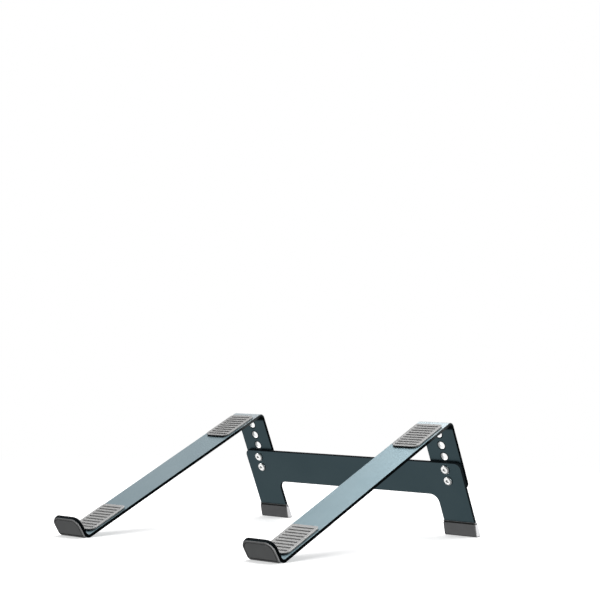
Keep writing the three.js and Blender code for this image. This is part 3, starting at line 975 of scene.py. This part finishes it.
def make_barrel_nut(side, level, place, material):
    """A flanged sleeve with a threaded bore. The flange's front face is z = 0, the sleeve is +z."""
    length = FRAME_THICKNESS + 2 * FIT_GAP + BAR_THICKNESS
    bore = SHANK_RADIUS + FIT_GAP
    ridge = FIT_GAP / 2
    bore_floor = 0.0002
    edge = 0.0005
    lead = 0.0002
    rows = list(reversed(socket_rows(-FLANGE_HEIGHT, -1)))
    for inset, drop, wear in rounding(edge):
        rows.append((-FLANGE_HEIGHT + drop, FLANGE_RADIUS - inset, wear))
    for inset, drop, wear in reversed(rounding(lead)):
        rows.append((-drop, FLANGE_RADIUS - inset, wear))
    rows.append((0.0, BARREL_RADIUS, 0.0))
    for inset, drop, wear in reversed(rounding(lead)):
        rows.append((length - drop, BARREL_RADIUS - inset, wear))
    rows += [(length, bore + lead, 0.0), (length - lead, bore, 0.0)]
    rows += thread_rows(bore, -ridge, length - 2 * lead, bore_floor + lead)
    rows.append((bore_floor, bore, 0.0))
    return make_piece(f"barrel_nut_{side}_{level}", turned(rows), material, place)


def fastener_place(side, down, forward):
    """A local frame whose z axis is the leg's front normal, at a point on one arm's hole line."""
    centre, _ = bar_box(side)
    y, z = leg_point(down, forward)
    across = Vector((1, 0, 0))
    up = Vector((0, -LEG_DIRECTION.x, -LEG_DIRECTION.y))
    out = across.cross(up)
    turn = Matrix((across, up, out)).transposed().to_4x4()
    return Matrix.Translation((centre, y, z)) @ turn


# ---- stage, light and camera ----------------------------------------------------------------

FLOOR_HEIGHT = -0.00005
FLOOR_RADIUS = 12
FLOOR_POINTS = 128
FLOOR_FADE_START = 0.35
FLOOR_FADE_END = 1.1
PAPER_TONE = (0.86, 0.86, 0.86)
PAPER_GLOW = 0.55
SURROUND_TONE = (0.96, 0.99, 1.0)
SURROUND_STRENGTH = 0.26
STAGE_CENTRE = Vector((0, 0, 0.05))
CAMERA_AZIMUTH = math.radians(40.934)
CAMERA_ELEVATION = math.radians(-2.406)
CAMERA_ROLL = math.radians(0.8686)
CAMERA_DISTANCE = 1.3148
CAMERA_TARGET = Vector((0.03470, -0.00330, 0.20670))
CAMERA_LENS = 91.136


def floor_material():
    """Plain white paper that fades into the white backdrop far from the stand."""
    material = bpy.data.materials.new("white paper")
    material.use_nodes = True
    tree = material.node_tree
    tree.nodes.clear()
    output = tree.nodes.new("ShaderNodeOutputMaterial")
    paper = tree.nodes.new("ShaderNodeBsdfDiffuse")
    paper.inputs["Color"].default_value = (*PAPER_TONE, 1)
    white = tree.nodes.new("ShaderNodeEmission")
    white.inputs["Strength"].default_value = 1.0
    coordinates = tree.nodes.new("ShaderNodeTexCoord")
    distance = tree.nodes.new("ShaderNodeVectorMath")
    distance.operation = "LENGTH"
    fade = tree.nodes.new("ShaderNodeMapRange")
    fade.interpolation_type = "SMOOTHSTEP"
    fade.inputs["From Min"].default_value = FLOOR_FADE_START
    fade.inputs["From Max"].default_value = FLOOR_FADE_END
    blend = tree.nodes.new("ShaderNodeMixShader")
    tree.links.new(coordinates.outputs["Object"], distance.inputs[0])
    tree.links.new(distance.outputs["Value"], fade.inputs["Value"])
    tree.links.new(fade.outputs["Result"], blend.inputs["Fac"])
    glow = tree.nodes.new("ShaderNodeEmission")
    glow.inputs["Strength"].default_value = PAPER_GLOW
    lit = tree.nodes.new("ShaderNodeAddShader")
    tree.links.new(paper.outputs["BSDF"], lit.inputs[0])
    tree.links.new(glow.outputs["Emission"], lit.inputs[1])
    tree.links.new(lit.outputs["Shader"], blend.inputs[1])
    tree.links.new(white.outputs["Emission"], blend.inputs[2])
    tree.links.new(blend.outputs["Shader"], output.inputs["Surface"])
    return material


def make_floor():
    """A wide round sheet. It is seen, but throws no light back, so the undersides stay dark."""
    mesh = bmesh.new()
    bmesh.ops.create_circle(mesh, cap_ends=True, radius=FLOOR_RADIUS, segments=FLOOR_POINTS)
    data = bpy.data.meshes.new("floor")
    mesh.to_mesh(data)
    mesh.free()
    data.materials.append(floor_material())
    floor = bpy.data.objects.new("floor", data)
    bpy.context.scene.collection.objects.link(floor)
    floor.location.z = FLOOR_HEIGHT
    floor.visible_diffuse = False
    floor.visible_glossy = False
    floor.visible_shadow = False


def make_world():
    """A white backdrop for the camera; the stand itself is lit by a dim, even surround."""
    world = bpy.data.worlds.new("studio")
    bpy.context.scene.world = world
    world.use_nodes = True
    tree = world.node_tree
    surround = tree.nodes["Background"]
    surround.inputs["Color"].default_value = (*SURROUND_TONE, 1)
    surround.inputs["Strength"].default_value = SURROUND_STRENGTH
    backdrop = tree.nodes.new("ShaderNodeBackground")
    backdrop.inputs["Color"].default_value = (1, 1, 1, 1)
    backdrop.inputs["Strength"].default_value = 1.0
    rays = tree.nodes.new("ShaderNodeLightPath")
    blend = tree.nodes.new("ShaderNodeMixShader")
    tree.links.new(rays.outputs["Is Camera Ray"], blend.inputs["Fac"])
    tree.links.new(surround.outputs["Background"], blend.inputs[1])
    tree.links.new(backdrop.outputs["Background"], blend.inputs[2])
    tree.links.new(blend.outputs["Shader"], tree.nodes["World Output"].inputs["Surface"])


def softbox(name, direction, distance, size, brightness, colour=(1, 1, 1)):
    """A soft light panel facing the stand, (width, height) in size, as bright as the number says
    whatever its size."""
    width, height = size
    light = bpy.data.lights.new(name, "AREA")
    light.shape = "RECTANGLE"
    light.size = width
    light.size_y = height
    light.energy = brightness * math.pi * width * height
    light.color = colour
    panel = bpy.data.objects.new(name, light)
    bpy.context.scene.collection.objects.link(panel)
    away = Vector(direction).normalized()
    panel.location = STAGE_CENTRE + away * distance
    panel.rotation_euler = away.to_track_quat("Z", "Y").to_euler()
    panel.visible_camera = False
    return panel


def light_only(panel, pieces):
    """Lets a panel shine on some pieces only."""
    receivers = bpy.data.collections.new(f"lit by the {panel.name}")
    for piece in pieces:
        receivers.objects.link(piece)
    panel.light_linking.receiver_collection = receivers


def without(pieces, *words):
    """The pieces whose names hold none of these words."""
    return [piece for piece in pieces if not any(word in piece.name for word in words)]


def named(pieces, word):
    """The pieces whose names hold this word."""
    return [piece for piece in pieces if word in piece.name]


def make_lights(pieces):
    """Soft panels round the stand. The strong side panel spares the arms and screws, which would glare,
    and the shoes and the screws each have a panel of their own."""
    softbox("back panel", (-0.68, 0.56, 0.45), 2.0, (2.0, 2.3), 0.92, colour=(1, 0.93, 0.93))
    softbox("overhead panel", (-0.05, 0.25, 1.0), 1.8, (1.8, 1.8), 3.6)
    right = softbox("right panel", (0.95, -0.08, 0.32), 1.7, (1.0, 0.8), 20.0)
    light_only(right, without(pieces, "screw", "arm"))
    foot_panel = softbox("foot panel", (0.93, 0.36, 0.32), 1.7, (1.0, 0.8), 34.0)
    light_only(foot_panel, named(pieces, "foot"))
    softbox("horizon panel", (-0.654, 0.756, 0.07), 2.4, (1.8, 0.4), 1.3)
    front_left = softbox("front left panel", (-0.65, -0.60, 0.45), 1.9, (0.6, 0.6), 8.0)
    light_only(front_left, without(pieces, "rear_grip"))
    screw_panel = softbox("screw panel", (-0.654, -0.521, -0.55), 1.5, (1.6, 1.6), 1.0)
    light_only(screw_panel, named(pieces, "screw"))


def make_camera():
    """The camera at the stand's front right, a little below level and slightly rolled."""
    back = Vector(
        (
            math.sin(CAMERA_AZIMUTH) * math.cos(CAMERA_ELEVATION),
            -math.cos(CAMERA_AZIMUTH) * math.cos(CAMERA_ELEVATION),
            math.sin(CAMERA_ELEVATION),
        )
    )
    data = bpy.data.cameras.new("camera")
    data.lens = CAMERA_LENS
    data.dof.use_dof = False
    camera = bpy.data.objects.new("camera", data)
    bpy.context.scene.collection.objects.link(camera)
    camera.location = CAMERA_TARGET + back * CAMERA_DISTANCE
    level = (-back).to_track_quat("-Z", "Y")
    camera.rotation_mode = "QUATERNION"
    camera.rotation_quaternion = level @ Quaternion((0, 0, 1), CAMERA_ROLL)
    bpy.context.scene.camera = camera


# ---- the whole stand ------------------------------------------------------------------------


def make_stand():
    """Builds every piece and returns them all."""
    anodised = anodised_material()
    lip_silicone = silicone_material("lip silicone", (0.215, 0.215, 0.215), (0.235, 0.235, 0.235))
    grip_silicone = silicone_material("grip silicone", (0.225, 0.225, 0.223), (0.25, 0.25, 0.248))
    foot_silicone = silicone_material("foot silicone", (0.150, 0.150, 0.153), (0.170, 0.170, 0.173))
    steel = steel_material()
    pieces = [make_rear_frame(anodised)]
    for side in SIDES:
        pieces.append(make_arm(side, anodised))
        pieces.append(make_lip_pad(side, lip_silicone))
        pieces.append(make_lip_liner(side, lip_silicone))
        pieces.append(make_foot_cap(side, foot_silicone))
        for end in GRIP_STARTS:
            pieces.append(make_grip_pad(side, end, grip_silicone))
        for level, index in PINNED_HOLES.items():
            down = FIRST_HOLE + HOLE_PITCH * index
            head_place = fastener_place(side, down, frame_back() + FRAME_THICKNESS + FIT_GAP)
            pieces.append(make_screw(side, level, head_place, steel))
            flange_place = fastener_place(side, down, -BAR_THICKNESS / 2 - FIT_GAP)
            pieces.append(make_barrel_nut(side, level, flange_place, steel))
    return pieces


make_camera()
make_world()
make_floor()
make_lights(make_stand())
bpy.context.scene.view_settings.view_transform = "Standard"
